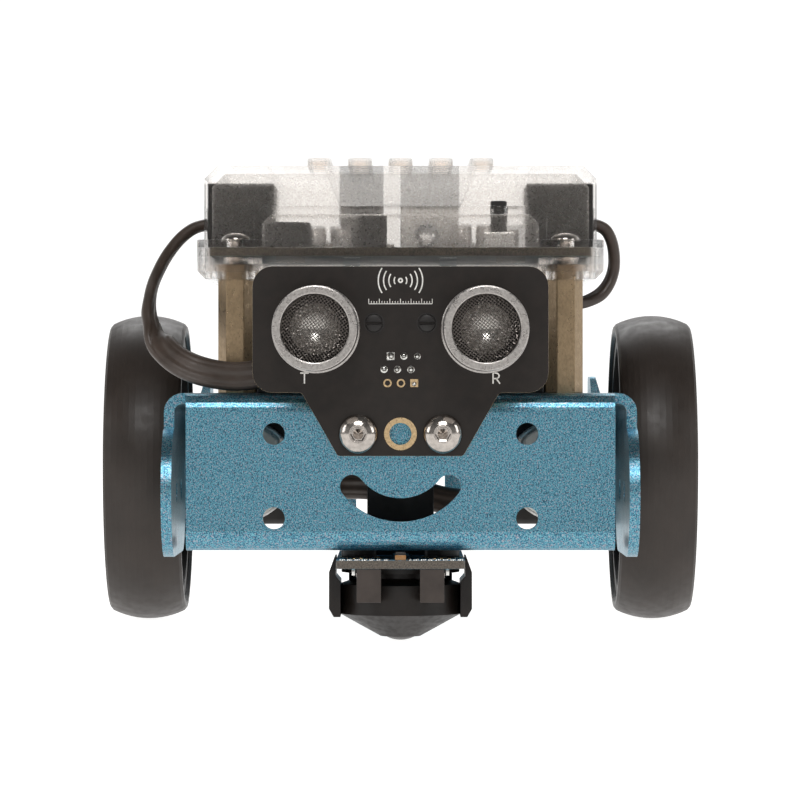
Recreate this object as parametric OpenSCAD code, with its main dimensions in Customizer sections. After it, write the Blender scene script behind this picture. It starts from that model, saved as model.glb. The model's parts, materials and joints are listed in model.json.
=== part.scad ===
// Two-wheeled educational robot with a distance sensor, a line sensor and a ball caster.
// The origin is on the floor under the middle of the robot. The front faces -Y and +Z is up.
// Depths are measured backwards from the outer face of the front plate.

/* [Overall] */
// Distance across the outer faces of the two tyres
overall_w = 122; // [121:0.5:126]
// Distance from the front plate back to the tail of the chassis
chassis_l = 156.4; // [152:0.2:170]
// Distance from the front plate forward to the front of the distance sensor
sensor_reach = 13.6; // [11:0.1:15]

/* [Chassis] */
// Thickness of the bent aluminium sheet
sheet_t = 2; // [1.8:0.1:2.1]
// Outside radius of the bends
bend_r = 3.6; // [3.2:0.1:4]
// Height of the top face of the deck
deck_z = 47.7; // [47.5:0.1:48]
// Width of the front plate
front_w = 81.4; // [76:0.2:82]
// Width across the front cheeks
cheek_w = 90.4; // [89:0.2:90.4]
// Width across the motor flanges
flange_w = 86; // [86:0.1:86.4]
// Diameter of the fixing holes
hole_d = 4.2; // [4:0.1:4.4]

/* [Wheels] */
// Outside diameter of a tyre
wheel_d = 64; // [62:0.5:66]
// Width of a tyre
tyre_w = 15.8; // [15:0.1:15.9]
// How far the tread falls from its middle to its shoulders
crown_h = 1.7; // [1.2:0.1:2]
// Diameter of the hub that the tyre sits on
hub_d = 56; // [54:0.5:57]
// Diameter of the ball in the caster
ball_d = 12; // [11.8:0.1:12]

/* [Gearbox] */
// Diameter of the output shaft
shaft_d = 5.4; // [5:0.1:5.6]
// Diameter of the fixed pins that the gears turn on
pin_d = 1.5; // [1.4:0.05:1.5]
// Clearance round a turning pin or shaft
run_gap = 0.05; // [0.03:0.01:0.06]

/* [Distance sensor] */
// Width of the sensor board
sensor_w = 56; // [54:0.5:58]
// Diameter of a transducer can
can_d = 16; // [15:0.1:16.4]
// Distance between the two cans
can_pitch = 32; // [30:0.5:34]

/* [Controller case] */
// Width of the case
case_w = 78; // [78:0.5:79]
// Height of the top of the cover above the floor
cover_z = 92.3; // [92:0.1:93]
// Thickness of the plastic walls
wall = 1.5; // [1.3:0.1:1.6]
// Diameter of a stud on the cover
stud_d = 4.8; // [4.6:0.1:4.9]
// Number of studs along each side of the field
studs = 5; // [3:1:5]

/* [Cables] */
// Width of the flat cable
cable_w = 5.6; // [5:0.1:6]
// Thickness of the flat cable
cable_t = 2.3; // [2:0.1:2.4]

/* [Hidden] */
$fn = 48;

// Sides: the robot's own left is +X
left = 1;
right = -1;

// Sizes that the rest of the design is built round
hole_pitch = 16;              // spacing of the fixing holes
stud_pitch = 8;
axle_d = 95;                  // depth of the wheel axle
gear_m = 0.4;                 // module of the gears

// Chassis
front_y = -(chassis_l - sensor_reach) / 2;
axle_z = wheel_d / 2;
lip_z = 17.8;                 // underside of the lip below the front plate
lip_l = 25;
cheek_front = 7.3;
cheek_back = 48;
lobe_r = 12.3;                // round front end of each cheek
lobe_d = 8;
lobe_z = 28.7;
flange_front = 55;
flange_back = 126;
flange_z = 18.4;
fin_z = 51.2;                 // top of the fins behind the wheels
tail_w = 62;
tail_z = 20;
notch_w = 20;                 // notch in the flange at the tail
notch_z = 33;
smile_z = 37.3;
smile_r = 11.75;
smile_w = 4.5;
smile_angle = 51.5;
fix_x = hole_pitch * 3 / 2;   // fixing holes of the front plate, deck and tail
fix_z = [24, 40];
deck_holes_d = [117, 133];
tail_hole_z = 39;
cheek_holes_d = [16, 32];
over = 1;                     // how far a cut runs past a face

// Standoffs and case
post_x = 32;
post_d = [21, 85];
post_af = 6;
post_l = 25;
case_front = 7.5;
case_back = 98.5;
case_z = 69.5;
board_z = 74;
board_t = 1.6;
board_top = board_z + board_t;
rim_z = board_top + wall;     // top of the cover's rim and its corner ledges
clip_x = [18.3, 23.8];        // clips of the cover, over the edge of the base
clip_t = 0.8;
clip_gap = 0.08;
nose_z = 83.5;
nose_w = 56;
brow_w = [22.4, 30.2];        // widths at the bottom and the top
body_front = 29;
body_back = 77;
jack_d = [45, 62];
jack_w = 13.2;
jack_h = 13.6;
jack_l = 13.2;
jack_face = 38.2;
plug_w = 9.6;
plug_h = 6.4;
plug_z = 5.6;                 // middle of a plug above its board
plug_out = 0.2;               // length of a plug that stands out of its jack
button_travel = 0.35;

// Screws
m4_r = 2;
m4_head_r = 3.75;
m4_head_h = 2.2;
m3_r = 1.5;
thread_gap = 0.03;
free_gap = 0.15;

// Drive train, depths of the fixed pins and heights along the axle
second_d = axle_d - gear_m * (32 + 9) / 2;
crown_d = second_d - gear_m * (32 + 10) / 2;
box_in = 22.2;
box_split = 30.6;
box_out = flange_w / 2 - sheet_t;
box_wall = 1.5;
motor_x = 31.6;
motor_screw_d = 75;
motor_screw_z = 8.75;
shaft_end = 51;
shaft_flat = 1.85;
hub_x = 44.4;
spokes = 6;

// Sensors, caster and batteries
can_z = 59.8;
sensor_screw_x = hole_pitch / 2;
sensor_screw_z = 40;
line_z = 14.4;
caster_d = 17;
ball_gap = 0.1;
cell_r = 7.1;
cell_pitch = 14.7;
holder_w = 57;
holder_d = [40, 102];
holder_h = 14.8;
sensor_jack_x = -9;
sensor_jack_z = 55;
line_jack_back = 50.2;

// Route of each cable: x, depth, height, then the direction of the flat cable's width
sensor_route = [
    [-38.4, 45, 81.2, 0, 1, 0], [-39.4, 45, 81.2, 0, 1, 0], [-41.6, 44.4, 80.4, 0, 1, 0],
    [-44, 43, 78.4, 0, 1, 0], [-46.2, 40.8, 75.4, 0, 1, 0], [-47.8, 37.8, 72.2, 0, 1, 0],
    [-48.9, 34.2, 68.9, 0, 1, 0.1], [-49.2, 30, 65.6, 0, 1, 0.25], [-48.8, 25.8, 62.2, 0, 1, 0.4],
    [-47.6, 21.7, 59, -0.2, 1, 0.6], [-45.6, 17.9, 56.2, -0.3, 0.8, 0.8],
    [-42.8, 14.5, 53.9, -0.3, 0.6, 0.9], [-39.4, 11.8, 52.3, -0.2, 0.3, 1],
    [-35.5, 9.7, 51.3, 0, 0.2, 1], [-31.3, 8.2, 50.9, 0, 0.1, 1], [-27, 7.1, 51.4, 0, 0, 1],
    [-22.8, 6.3, 52.6, 0, 0, 1], [-18.4, 5.8, 54.1, 0, 0, 1], [-13.8, 5.6, 55, 0, 0, 1],
    [-9.2, 5.6, 55, 0, 0, 1]
];
line_route = [
    [38.4, 45, 81.2, 0, 1, 0], [39.4, 45, 81.2, 0, 1, 0], [41.1, 45, 80.2, 0, 1, 0],
    [42.2, 45, 78.1, 0, 1, 0.1], [42.7, 45, 75.4, 0, 1, 0.2], [42.6, 44.9, 72.4, 0, 1, 0.2],
    [41.6, 44.5, 69.6, 0, 1, 0.2], [39.8, 43.8, 67.4, 0, 1, 0.2], [37.2, 42.7, 66, 0, 1, 0.1],
    [34.2, 41, 65.3, 0, 1, 0], [31.2, 38.6, 65, 0, 1, 0], [28.6, 35.9, 64.3, 0, 1, 0],
    [26.4, 33.5, 62.5, 0, 1, 0], [24.6, 31.9, 59.6, 0, 1, 0], [23, 31, 55.9, 0, 1, 0],
    [21.6, 30.8, 51.8, 0, 1, 0], [20.4, 31.2, 47.7, 0, 1, 0.1], [19.5, 32.6, 42.8, 0.4, 1, 0.2],
    [19.2, 35.8, 38.4, 0.9, 0.5, 0.4], [19.3, 40.6, 34.5, 1, 0, 0.3], [19.6, 46.2, 31, 0.8, 0, 0.6],
    [19.4, 50.8, 28.8, 0.5, 0.3, 0.9], [18.4, 55.2, 27.1, 0.2, 0.3, 1], [16.2, 59.2, 25.9, 0, 0, 1],
    [12.8, 62, 25.4, 0, 0, 1], [8.8, 63.5, 25.8, 0, 0, 1], [3.4, 64.4, 27.2, 0, 0, 1],
    [-2.2, 64.9, 28.3, 0, 0, 1], [-7.4, 65.9, 28.7, 0, 0, 1], [-11.4, 68.4, 28.7, 0, 0, 1],
    [-13.8, 72.6, 28.7, 0, 0, 1], [-13.6, 77.4, 28.8, 0, 0, 1], [-10.6, 81.4, 28.9, 0, 0, 1],
    [-6.2, 82.6, 28.3, 0, 0, 1], [-2.6, 81, 27, 0.15, 0, 1], [-0.8, 77.4, 25.1, 0.6, 0.1, 1],
    [0, 72.4, 22.9, 1, 0, 0.6], [0, 66.6, 21.7, 1, 0, 0.1], [0, 58.6, 21.6, 1, 0, 0],
    [0, 50.4, 21.6, 1, 0, 0]
];

// Points of an outline whose corners are given as [u, v, radius]
arc_steps = 6;
function unit(v) = v / norm(v);
function turn(a) = a > 180 ? a - 360 : a < -180 ? a + 360 : a;
function corner(a, b, c, r) =
    let (
        u = unit(a - b),
        v = unit(c - b),
        half = acos(u * v) / 2,
        centre = b + unit(u + v) * r / sin(half),
        p = b + u * r / tan(half) - centre,
        q = b + v * r / tan(half) - centre,
        start = atan2(p[1], p[0]),
        sweep = turn(atan2(q[1], q[0]) - start)
    )
    [for (i = [0:arc_steps]) let (t = start + sweep * i / arc_steps) centre + r * [cos(t), sin(t)]];
function flat(p) = [p[0], p[1]];
function outline(points) =
    let (n = len(points))
    [for (i = [0:n - 1]) let (p = points[i])
        each p[2] > 0
            ? corner(flat(points[(i + n - 1) % n]), flat(p), flat(points[(i + 1) % n]), p[2])
            : [flat(p)]];

// Outline of a gear with straight-sided teeth; the first tooth points along +u
function gear_outline(teeth) =
    let (
        pitch = 360 / teeth,
        root = gear_m * (teeth / 2 - 1.2),
        tip = gear_m * (teeth / 2 + 0.75)
    )
    [for (i = [0:teeth - 1], k = [[root, -0.29], [tip, -0.11], [tip, 0.11], [root, 0.29]])
        k[0] * [cos((i + k[1]) * pitch), sin((i + k[1]) * pitch)]];

// Section of the case's cover: a rectangle with its two top corners cut off
function bell(w, z0, z1, c) =
    let (x = w / 2)
    [[-x, z0], [x, z0], [x, z1 - c], [x - c, z1], [c - x, z1], [-x, z1 - c]];
function plate(w, d0, d1, r) =
    outline([[-w / 2, d0, r], [w / 2, d0, r], [w / 2, d1, r], [-w / 2, d1, r]]);
// Section of sheet metal bent down along both sides
function channel(w, z0) =
    let (x = w / 2, t = sheet_t, r = bend_r)
    outline([
        [-x, z0, 0], [-x, deck_z, r], [x, deck_z, r], [x, z0, 0],
        [x - t, z0, 0], [x - t, deck_z - t, r - t], [t - x, deck_z - t, r - t], [t - x, z0, 0]
    ]);

// Extrusions of a flat shape drawn in (depth, height), (x, height) or (x, depth)
module across(x0, x1) translate([x0, front_y, 0]) rotate([90, 0, 90]) linear_extrude(x1 - x0) children();
module lengthwise(d0, d1)
    translate([0, front_y + d1, 0]) rotate([90, 0, 0]) linear_extrude(d1 - d0) children();
module upward(z0, z1) translate([0, front_y, z0]) linear_extrude(z1 - z0) children();
module rise(a, b) translate([0, 0, a]) linear_extrude(b - a) children();
module block(x, d, z)
    translate([x[0], front_y + d[0], z[0]]) cube([x[1] - x[0], d[1] - d[0], z[1] - z[0]]);
module rod_x(x0, x1, d, z, r) across(x0, x1) translate([d, z]) circle(r);
module rod_y(d0, d1, x, z, r) lengthwise(d0, d1) translate([x, z]) circle(r);
module rod_z(z0, z1, x, d, r) upward(z0, z1) translate([x, d]) circle(r);
module both() {
    children();
    mirror([1, 0, 0]) children();
}
module on_side(side) mirror([side < 0 ? 1 : 0, 0, 0]) children();
// Places a shape so that its own +Z runs outwards along the wheel axle's direction
module on_axis(d) translate([0, front_y + d, axle_z]) rotate([90, 0, 90]) children();

// Button-head screw, drawn with its head's underside at z = 0 and its shank below
module screw(r, head_r, head_h, length, key_af) {
    steps = 6;
    end_angle = 62;
    rim = head_h * 0.15;
    dome = [for (i = [0:steps]) let (a = end_angle * i / steps)
        [head_r * cos(a), rim + (head_h - rim) * sin(a) / sin(end_angle)]];
    difference() {
        rotate_extrude() polygon([[0, -length], [r, -length], [r, 0], [head_r, 0], each dome, [0, head_h]]);
        translate([0, 0, head_h * 0.4]) cylinder(h = head_h, r = key_af / sqrt(3), $fn = 6);
        translate([0, 0, head_h * 0.15]) cylinder(h = head_h * 0.3, r1 = 0.1, r2 = key_af * 0.48);
    }
}
module m3_screw(length) screw(m3_r, 2.85, 1.65, length, 2);
module m4_screw(length) screw(m4_r, m4_head_r, m4_head_h, length, 2.5);
module hex_tube(af, h, bore) {
    difference() {
        cylinder(h = h, r = af / sqrt(3), $fn = 6);
        translate([0, 0, -over]) cylinder(h = h + 2 * over, r = bore);
    }
}

// ---- Chassis ----
module front_section() {
    x = front_w / 2;
    r = bend_r;
    t = sheet_t;
    across(-x, x) polygon(outline([
        [14, deck_z, 0], [0, deck_z, r], [0, lip_z, r], [lip_l, lip_z, 0],
        [lip_l, lip_z + t, 0], [t, lip_z + t, r - t], [t, deck_z - t, r - t], [14, deck_z - t, 0]
    ]));
}
module cheek_shape() {
    translate([lobe_d, lobe_z]) circle(lobe_r);
    polygon(outline([
        [cheek_front, deck_z + over, 0], [cheek_front, lobe_z, 0], [lobe_d, lobe_z - lobe_r, 0],
        [cheek_back, lobe_z - lobe_r, 9], [cheek_back, deck_z + over, 0]
    ]));
}
module cheeks() {
    intersection() {
        lengthwise(lobe_d - lobe_r - over, cheek_back) polygon(channel(cheek_w, lobe_z - lobe_r));
        across(-cheek_w, cheek_w) cheek_shape();
    }
}
module flange_shape() {
    polygon(outline([
        [flange_front, deck_z + over, 0], [flange_front, 34, 4], [66, flange_z, 6],
        [108, flange_z, 8], [flange_back, 34, 5], [flange_back, deck_z + over, 0]
    ]));
}
module fins() {
    x = flange_w / 2;
    both() intersection() {
        across(x - sheet_t, x) polygon(outline([
            [102, 42, 0], [flange_back, 42, 0], [flange_back, fin_z, 2], [115, fin_z, 3]
        ]));
        lengthwise(100, flange_back + over)
            polygon([[x - sheet_t, 41], [x, 41], [x, deck_z], [x - 0.8, fin_z], [x - sheet_t, fin_z]]);
    }
}
module motor_section() {
    intersection() {
        lengthwise(flange_front, flange_back) polygon(channel(flange_w, flange_z));
        across(-flange_w, flange_w) flange_shape();
    }
    fins();
}
module deck() {
    x = flange_w / 2 - bend_r;
    tx = tail_w / 2;
    upward(deck_z - sheet_t, deck_z) polygon(outline([
        [-x, 40, 0], [x, 40, 0], [x, flange_back, 2], [tx, 138, 6], [tx, 146, 0],
        [-tx, 146, 0], [-tx, 138, 6], [-x, flange_back, 2]
    ]));
}
module tail_shape() {
    w = tail_w / 2;
    n = notch_w / 2;
    polygon(outline([
        [-w, deck_z, 0], [-w, tail_z, 5], [-n, tail_z, 2], [-n, notch_z, 4],
        [n, notch_z, 4], [n, tail_z, 2], [w, tail_z, 5], [w, deck_z, 0]
    ]));
}
module tail() {
    t = sheet_t;
    r = bend_r;
    l = chassis_l;
    intersection() {
        across(-tail_w / 2, tail_w / 2) polygon(outline([
            [144, deck_z - t, 0], [l - t, deck_z - t, r - t], [l - t, tail_z, 0],
            [l, tail_z, 0], [l, deck_z, r], [144, deck_z, 0]
        ]));
        lengthwise(140, l + over) tail_shape();
    }
}
module smile() {
    lengthwise(-over, sheet_t + over) translate([0, smile_z]) {
        intersection() {
            difference() {
                circle(smile_r + smile_w / 2);
                circle(smile_r - smile_w / 2);
            }
            polygon([[0, 0], 30 * [-sin(smile_angle), -cos(smile_angle)], [0, -40],
                30 * [sin(smile_angle), -cos(smile_angle)]]);
        }
        for (a = [-smile_angle, smile_angle])
            translate(smile_r * [sin(a), -cos(a)]) circle(smile_w / 2);
    }
}
module chassis_holes() {
    r = hole_d / 2;
    smile();
    for (x = [-fix_x, fix_x], z = fix_z) rod_y(-over, sheet_t + over, x, z, r);
    for (x = [-sensor_screw_x, sensor_screw_x]) {
        rod_y(-over, sheet_t + over, x, sensor_screw_z, r);
        rod_z(lip_z - over, lip_z + sheet_t + over, x, caster_d, r);
        rod_y(chassis_l - 5, chassis_l + over, x, tail_hole_z, r);
    }
    for (x = [-fix_x, fix_x]) {
        for (d = deck_holes_d) rod_z(40, deck_z + over, x, d, r);
        rod_y(chassis_l - 5, chassis_l + over, x, tail_hole_z, r);
    }
    for (x = [-post_x, post_x], d = post_d) rod_z(deck_z - 5, deck_z + over, x, d, r);
    for (d = cheek_holes_d) rod_x(-cheek_w, cheek_w, d, lobe_z, r);
    rod_x(-flange_w, flange_w, axle_d, axle_z, 4.5);
    for (z = [-motor_screw_z, motor_screw_z])
        rod_x(-flange_w, flange_w, motor_screw_d, axle_z + z, m3_r + free_gap);
    upward(40, deck_z + over) translate([20, 0]) polygon(plate(17, 25.5, 37, 3));
}
module chassis() {
    color("steelblue") difference() {
        union() {
            front_section();
            cheeks();
            motor_section();
            deck();
            tail();
        }
        chassis_holes();
    }
}

// ---- Wheels ----
module tyre(side) {
    half = tyre_w / 2;
    shoulder = half - 0.5;
    arc_r = (shoulder ^ 2 + crown_h ^ 2) / (2 * crown_h);
    arc_a = asin(shoulder / arc_r);
    tread_steps = 12;
    tread = [for (i = [0:tread_steps]) let (a = arc_a * (2 * i / tread_steps - 1))
        [wheel_d / 2 - arc_r * (1 - cos(a)), arc_r * sin(a)]];
    color("#241c19") on_side(side) on_axis(axle_d) translate([0, 0, overall_w / 2 - half])
        rotate_extrude($fn = 96) polygon([
            [hub_d / 2, 0.6 - half], [hub_d / 2 + 0.6, -half], [wheel_d / 2 - crown_h - 0.6, -half],
            each tread,
            [wheel_d / 2 - crown_h - 0.6, half], [hub_d / 2 + 0.6, half], [hub_d / 2, half - 0.6]
        ]);
}
module shaft_section(r, flat_h) {
    intersection() {
        circle(r);
        square([3 * r, 2 * flat_h], center = true);
    }
}
module hub(side) {
    r = hub_d / 2 - 0.05;
    color("#2b2725") on_side(side) on_axis(axle_d) difference() {
        union() {
            rise(46, 60.2) difference() {
                circle(r, $fn = 96);
                circle(r - 2.4, $fn = 96);
            }
            rise(50.4, 52.6) circle(r - 1, $fn = 96);
            rise(hub_x, 55.4) circle(6.5);
            for (i = [0:spokes - 1])
                rotate(i * 360 / spokes) translate([5.5, -1.1, 52]) cube([r - 7, 2.2, 5.6]);
        }
        rise(hub_x - over, shaft_end + 0.1)
            shaft_section(shaft_d / 2 + thread_gap, shaft_flat + thread_gap);
        rise(hub_x, 60) circle(1.3);
        rise(53, 60) circle(3.2);
    }
}
module wheel_screw(side) {
    color("silver") on_side(side) on_axis(axle_d) translate([0, 0, 53]) screw(1, 2.6, 1.6, 8, 1.5);
}

// ---- Gearboxes and motors, drawn for the left side ----
module output_gear(side) {
    r = shaft_d / 2;
    color("white") on_side(side) on_axis(axle_d) difference() {
        union() {
            rise(31, 35) rotate(180 / 32) polygon(gear_outline(32));
            rise(box_in + 0.2, 32) circle(1.1);
            rise(34, 42) circle(r);
            rise(41, shaft_end) shaft_section(r, shaft_flat);
        }
        rise(44.8, shaft_end + over) circle(1 + thread_gap);
    }
}
module second_gear(side) {
    color("white") on_side(side) on_axis(second_d) difference() {
        union() {
            rise(24.7, 27.3) rotate(180 / 32) polygon(gear_outline(32));
            rise(27, 31) circle(1.15);
            rise(30.8, 35.4) polygon(gear_outline(9));
        }
        rise(24, 36) circle(pin_d / 2 + run_gap);
    }
}
module crown_gear(side) {
    teeth = 34;
    r = gear_m * teeth / 2 + 0.2;
    color("white") on_side(side) on_axis(crown_d) difference() {
        union() {
            rise(24.4, 28.6) polygon(gear_outline(10));
            rise(28.2, 29.5) circle(r);
            for (i = [0:teeth - 1]) rise(29.4, 30.4) rotate(i * 360 / teeth)
                polygon([[r - 1.1, -0.18], [r - 0.05, -0.21], [r - 0.05, 0.21], [r - 1.1, 0.18]]);
        }
        rise(24, 31) circle(pin_d / 2 + run_gap);
    }
}
module motor_pinion(side) {
    color("goldenrod") on_side(side) translate([motor_x, front_y + 71, axle_z]) rotate([-90, 0, 0]) {
        rise(0, 1.6) rotate(180 / 8) polygon(gear_outline(8));
        rise(-14, 2) circle(1);
    }
}
function box_shape(inset) =
    let (z0 = axle_z - 11.25 + inset, z1 = axle_z + 11.25 - inset)
    outline([[68 + inset, z0, 1], [106 - inset, z0, 2.4], [106 - inset, z1, 2.4], [68 + inset, z1, 1]]);
module motor_section_shape(gap) {
    intersection() {
        circle(10 + gap);
        square([15 + 2 * gap, 30], center = true);
    }
}
module motor_opening() {
    lengthwise(60, 70.6) translate([motor_x, axle_z]) motor_section_shape(0.1);
}
module box_bores(x0, x1) {
    for (z = [-motor_screw_z, motor_screw_z]) rod_x(x0, x1, motor_screw_d, axle_z + z, m3_r + free_gap);
}
module gearbox_inner(side) {
    floor_x = box_in + box_wall;
    color("#26211f") on_side(side) difference() {
        union() {
            difference() {
                across(box_in, box_split) polygon(box_shape(0));
                across(floor_x, box_split + over) polygon(box_shape(1.4));
            }
            for (z = [-motor_screw_z, motor_screw_z])
                rod_x(box_in + 0.5, box_split, motor_screw_d, axle_z + z, 2.2);
            rod_x(box_in + 0.5, 24.2, crown_d, axle_z, 1.8);
            rod_x(box_in + 0.5, 24.5, second_d, axle_z, 1.8);
        }
        motor_opening();
        box_bores(box_in - over, box_split + over);
        for (d = [crown_d, second_d]) rod_x(box_in + 0.6, 26, d, axle_z, pin_d / 2 + thread_gap);
        rod_x(box_in - over, 26, axle_d, axle_z, 1.1 + run_gap);
    }
}
module gearbox_outer(side) {
    floor_x = box_out - box_wall;
    color("#26211f") on_side(side) difference() {
        union() {
            difference() {
                across(box_split + 0.05, box_out) polygon(box_shape(0));
                across(box_split - over, floor_x) polygon(box_shape(1.4));
            }
            for (z = [-motor_screw_z, motor_screw_z])
                rod_x(box_split + 0.05, box_out - 0.5, motor_screw_d, axle_z + z, 2.2);
            rod_x(30.7, box_out - 0.5, crown_d, axle_z, 1.6);
            rod_x(35.7, box_out - 0.5, second_d, axle_z, 1.8);
            rod_x(36, box_out - 0.5, axle_d, axle_z, 5);
        }
        motor_opening();
        box_bores(box_split - over, box_out + over);
        for (d = [crown_d, second_d]) rod_x(30, box_out - 0.6, d, axle_z, pin_d / 2 + thread_gap);
        rod_x(35, box_out + over, axle_d, axle_z, shaft_d / 2 + run_gap);
    }
}
module gear_pins() {
    color("silver") both() for (d = [crown_d, second_d])
        rod_x(box_in + 0.7, box_out - 0.7, d, axle_z, pin_d / 2);
}
module motor_cans() {
    color("silver") both() difference() {
        lengthwise(45.5, 70.5) translate([motor_x, axle_z]) motor_section_shape(0);
        rod_y(56.5, 71, motor_x, axle_z, 1 + run_gap);
    }
}
module motor_caps() {
    color("white") both() {
        lengthwise(43.6, 45.5) translate([motor_x, axle_z]) motor_section_shape(-0.6);
        rod_y(42, 43.8, motor_x, axle_z, 2.6);
    }
}
module motor_screws() {
    color("silver") both() for (z = [-motor_screw_z, motor_screw_z])
        translate([flange_w / 2, front_y + motor_screw_d, axle_z + z]) rotate([0, 90, 0])
            m3_screw(25);
}
module nuts() {
    color("silver") {
        both() for (z = [-motor_screw_z, motor_screw_z])
            translate([box_in - 2.4, front_y + motor_screw_d, axle_z + z]) rotate([0, 90, 0])
                hex_tube(5.5, 2.4, m3_r + thread_gap);
        both() translate([sensor_screw_x, front_y + sheet_t, sensor_screw_z]) rotate([-90, 0, 0])
            hex_tube(7, 3.2, m4_r + thread_gap);
    }
}

// ---- Standoffs and case ----
module at_posts(z) for (x = [-post_x, post_x], d = post_d) translate([x, front_y + d, z]) children();
module standoffs() {
    color("#b59a52") at_posts(deck_z) difference() {
        cylinder(h = post_l, r = post_af / sqrt(3), $fn = 6);
        rise(-over, post_l / 2) circle(m4_r + thread_gap);
        rise(post_l / 2 - over, post_l + over) circle(m3_r + thread_gap);
    }
}
module standoff_screws() {
    color("silver") {
        at_posts(rim_z) m3_screw(12);
        at_posts(deck_z - sheet_t) rotate([180, 0, 0]) m4_screw(10);
    }
}
module case_base() {
    w = case_w / 2;
    color("#6a6a6a", 0.6) difference() {
        union() {
            difference() {
                intersection() {
                    lengthwise(case_front, case_back) polygon([
                        [-w, board_top], [-w, case_z + 1.7], [1.7 - w, case_z],
                        [w - 1.7, case_z], [w, case_z + 1.7], [w, board_top]
                    ]);
                    upward(case_z, board_top) polygon(plate(case_w, case_front, case_back, 3));
                }
                upward(case_z + wall, board_top + over)
                    polygon(plate(case_w - 2 * wall, case_front + wall, case_back - wall, 2));
            }
            at_posts(case_z) cylinder(h = board_z - case_z, r = 5.2);
        }
        at_posts(case_z - over) cylinder(h = deck_z + post_l - case_z + over, r = 3.8);
        at_posts(case_z) cylinder(h = 6, r = m3_r + free_gap);
        for (x = [-9.3, 9.1]) block([x - 1.6, x + 1.6], [case_front - over, case_front + 5], [72, 73.6]);
    }
}
module cover_solid(inset) {
    top = cover_z - inset;
    w = case_w - 1 - 2 * inset;
    n = nose_w - 2 * inset;
    z0 = board_top - (inset > 0 ? over : 0);
    lengthwise(body_front + inset, body_back - inset) polygon(bell(w, z0, top, 2.6));
    lengthwise(body_front + inset, case_back - 0.5 - inset) polygon(bell(n, z0, top, 2.6));
    lengthwise(case_front + 0.5 + inset, body_front + 2 * inset + over)
        polygon(bell(n, z0, nose_z - inset, 1.8));
}
module cover_brow() {
    intersection() {
        across(-20, 20) polygon([
            [body_front + over, nose_z - over], [body_front + over, cover_z], [body_front, cover_z],
            [body_front - 4.6, nose_z - over]
        ]);
        lengthwise(0, body_front + 5) polygon([
            [-brow_w[0] / 2, nose_z - over], [brow_w[0] / 2, nose_z - over],
            [brow_w[1] / 2, cover_z], [-brow_w[1] / 2, cover_z]
        ]);
    }
}
module cover_cuts() {
    half = jack_w / 2 + 0.2;
    for (d = jack_d) both()
        block([34, case_w], [d - half, d + half], [board_top, board_top + jack_h + 0.2]);
    at_posts(board_top - over) cylinder(h = 5, r = m3_r + free_gap);
    rod_z(nose_z - 3, nose_z + over, 19, 18, 1.6 + free_gap);
    block([-0.2, 12.2], [90, 110], [board_top, board_top + 11.2]);
    block([-12.7, -3.3], [90, 110], [board_top, board_top + 11.2]);
    block([-23.4, -15.8], [90, 110], [rim_z + 0.2, rim_z + 2.9]);
    rod_y(90, 110, 22, rim_z + 2.5, 1.5 + free_gap);
}
module case_cover() {
    color("#6a6a6a", 0.6) {
        difference() {
            union() {
                upward(board_top, rim_z) polygon(plate(case_w, case_front, case_back, 3));
                cover_solid(0);
                cover_brow();
                both() for (d = [case_front, case_back]) {
                    block(clip_x, [d - clip_t, d + clip_t], [board_top, rim_z]);
                    block(clip_x, d == case_front ? [d - clip_t, d - clip_gap] : [d + clip_gap, d + clip_t],
                        [72.6, rim_z]);
                }
                for (i = [0:studs - 1], j = [0:studs - 1])
                    rod_z(cover_z - 0.5, cover_z + 1.7, stud_pitch * (i - (studs - 1) / 2),
                        35 + stud_pitch * j, stud_d / 2);
            }
            cover_solid(wall);
            cover_cuts();
        }
    }
}
module controller_board() {
    color("#1d3a5c") difference() {
        upward(board_z, board_top)
            polygon(plate(case_w - 2 * wall - 0.8, case_front + 2, case_back - 2, 2));
        at_posts(board_z - over) cylinder(h = 5, r = m3_r + free_gap);
    }
}

// Modular jack and plug: drawn on a board at z = 0 with the mouth at x = 0 facing +X
module jack_body() {
    difference() {
        translate([-jack_l, -jack_w / 2, 0]) cube([jack_l, jack_w, jack_h]);
        translate([-jack_l + 1.6, -plug_w / 2 - 0.15, plug_z - plug_h / 2 - 0.15])
            cube([jack_l, plug_w + 0.3, plug_h + 0.3]);
        translate([-jack_l + 1.6, -2.2, plug_z]) cube([jack_l, 4.4, 5.6]);
    }
}
module plug_body() {
    front = -jack_l + 2;
    translate([front, -plug_w / 2, plug_z - plug_h / 2]) cube([plug_out - front, plug_w, plug_h]);
    translate([front + 2, -1.6, plug_z + plug_h / 2 - 0.5]) cube([plug_out - front - 2.4, 3.2, 1.8]);
}
module at_case_jack(side, d)
    translate([side * jack_face, front_y + d, board_top]) rotate([0, 0, side > 0 ? 0 : 180]) children();
module at_sensor_jack()
    translate([sensor_jack_x, front_y, sensor_jack_z]) rotate([-90, 0, 180]) mirror([0, 0, 1]) children();
module at_line_jack()
    translate([0, front_y + line_jack_back, line_z + board_t]) rotate([0, 0, 90]) children();
module cable_jacks() {
    color("#2b2b2b") for (s = [-1, 1], d = jack_d) at_case_jack(s, d) jack_body();
}
module module_jacks() {
    color("#2b2b2b") {
        at_sensor_jack() jack_body();
        at_line_jack() jack_body();
    }
}
module usb_port() {
    color("silver") difference() {
        block([0, 12], [82.3, 98.3], [board_top, board_top + 11]);
        block([1, 11], [90, 99], [board_top + 1, board_top + 3.4]);
        block([1, 11], [90, 99], [board_top + 7.6, board_top + 10]);
        block([1, 3.1], [90, 99], [board_top + 1, board_top + 10]);
        block([8.9, 11], [90, 99], [board_top + 1, board_top + 10]);
    }
}
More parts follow.
